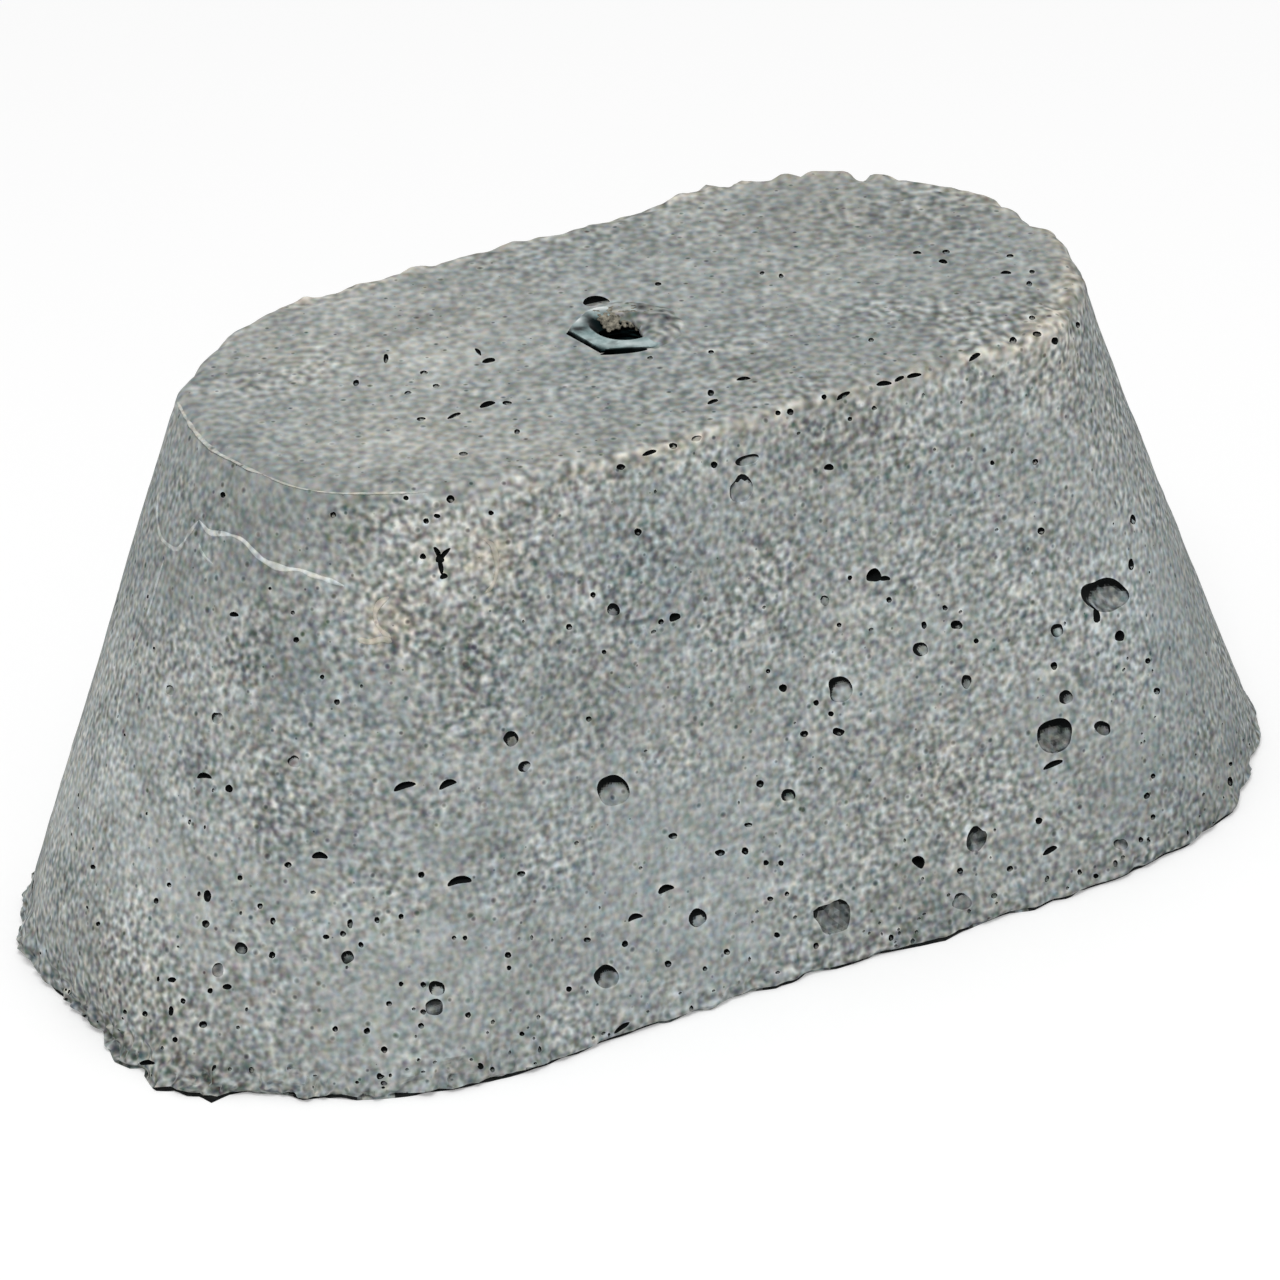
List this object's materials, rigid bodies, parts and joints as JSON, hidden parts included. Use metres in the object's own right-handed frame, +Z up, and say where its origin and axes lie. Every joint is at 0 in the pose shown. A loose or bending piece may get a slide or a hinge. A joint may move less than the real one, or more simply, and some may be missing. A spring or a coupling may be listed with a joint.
{
  "type": "concrete roof support block",
  "caption": "Cast concrete obround block with drafted sides and a threaded hex nut cast into its top, a ballast foot that carries trays, pipes or rails on a flat roof.",
  "frame": {"origin": "middle of the foot, on the roof surface that the block stands on", "axes": "+X along the block's length, +Y across its width, +Z up along the cast-in nut's thread"},
  "size_m": [0.2392, 0.1168, 0.1025],
  "materials": {
    "concrete": "matte",
    "zinc_plated_steel": "satin"
  },
  "bodies": {
    "root": {"concrete_block": "concrete", "hex_nut": "zinc_plated_steel"}
  },
  "joints": []
}
